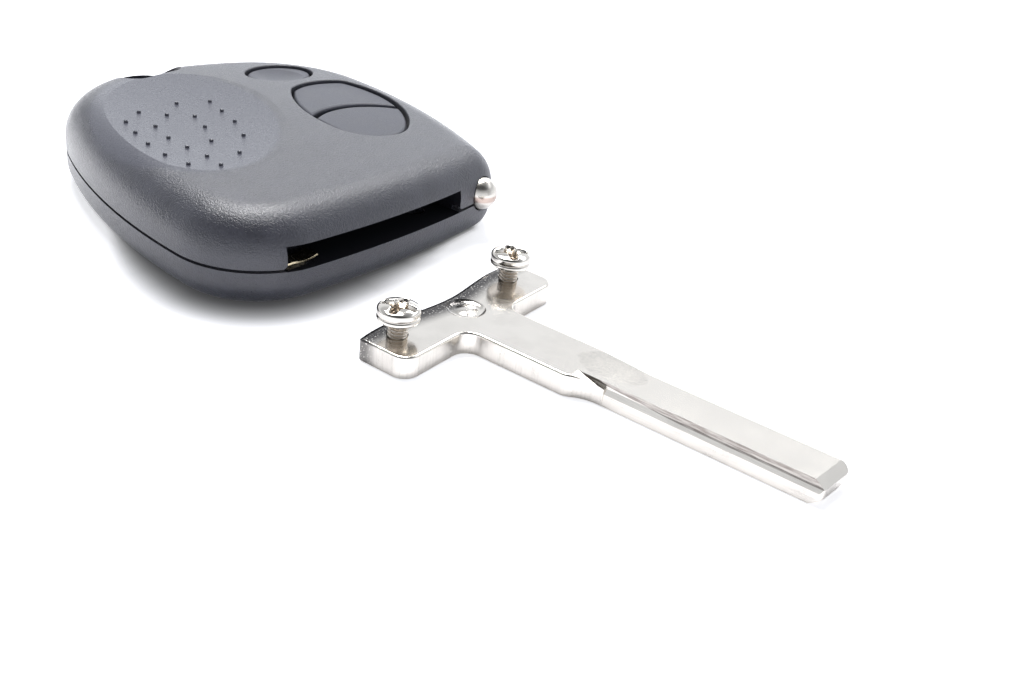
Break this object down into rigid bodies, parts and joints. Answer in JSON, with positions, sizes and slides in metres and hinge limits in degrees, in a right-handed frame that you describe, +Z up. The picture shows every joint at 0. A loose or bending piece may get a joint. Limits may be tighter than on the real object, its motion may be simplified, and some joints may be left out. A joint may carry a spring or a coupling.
{
  "type": "car remote key",
  "caption": "Remote key case with push buttons, keyring opening and blade slot, laid out with its flat T-headed key blade and blade screws.",
  "frame": {"origin": "on the flat face that the case rests on, on the blade slot's centre line, under the middle of the case's length", "axes": "+X out of the blade slot, +Y to the contact pin's side, +Z up"},
  "size_m": [0.1218, 0.056, 0.0127],
  "materials": {
    "case": "dark charcoal spark-eroded plastic",
    "button": "dark charcoal moulded plastic, a little smoother than the case",
    "nickel": "bright nickel plate, faintly warm",
    "contact": "tinned spring brass",
    "board": "green solder mask",
    "switch_case": "black moulded switch body",
    "plunger": "natural moulded plunger",
    "chip": "black epoxy",
    "cell": "satin stainless steel",
    "copper": "copper"
  },
  "bodies": {
    "case": {"upper_shell": "case", "lower_shell": "case", "circuit_board": "board", "lock_switch": "switch_case", "unlock_switch": "switch_case", "boot_switch": "switch_case", "controller_chip": "chip", "resonator_can": "cell", "chip_parts": "chip", "antenna_loop": "copper", "coin_cell": "cell", "positive_contact": "contact", "negative_contact": "contact", "blade_contact": "contact", "contact_pin_spring": "contact", "pin_terminal": "contact", "key_blade": "nickel", "left_blade_screw": "nickel", "right_blade_screw": "nickel"},
    "lock": {"lock_button": "button", "lock_switch_plunger": "plunger"},
    "unlock": {"unlock_button": "button", "unlock_switch_plunger": "plunger"},
    "boot": {"boot_button": "button", "boot_switch_plunger": "plunger"},
    "pin": {"contact_pin": "nickel"}
  },
  "joints": [
    {"name": "lock_press", "type": "slide", "parent": "case", "child": "lock", "axis": [0, 0, -1], "range_m": [0, 0.0003], "stiffness_N_per_m": 6000},
    {"name": "unlock_press", "type": "slide", "parent": "case", "child": "unlock", "axis": [0, 0, -1], "range_m": [0, 0.0003], "stiffness_N_per_m": 6000},
    {"name": "boot_press", "type": "slide", "parent": "case", "child": "boot", "axis": [0, 0, -1], "range_m": [0, 0.0003], "stiffness_N_per_m": 6000},
    {"name": "pin_press", "type": "slide", "parent": "case", "child": "pin", "axis": [-1, 0, 0], "range_m": [0, 0.0015], "stiffness_N_per_m": 800, "deforming": ["contact_pin_spring"]}
  ]
}
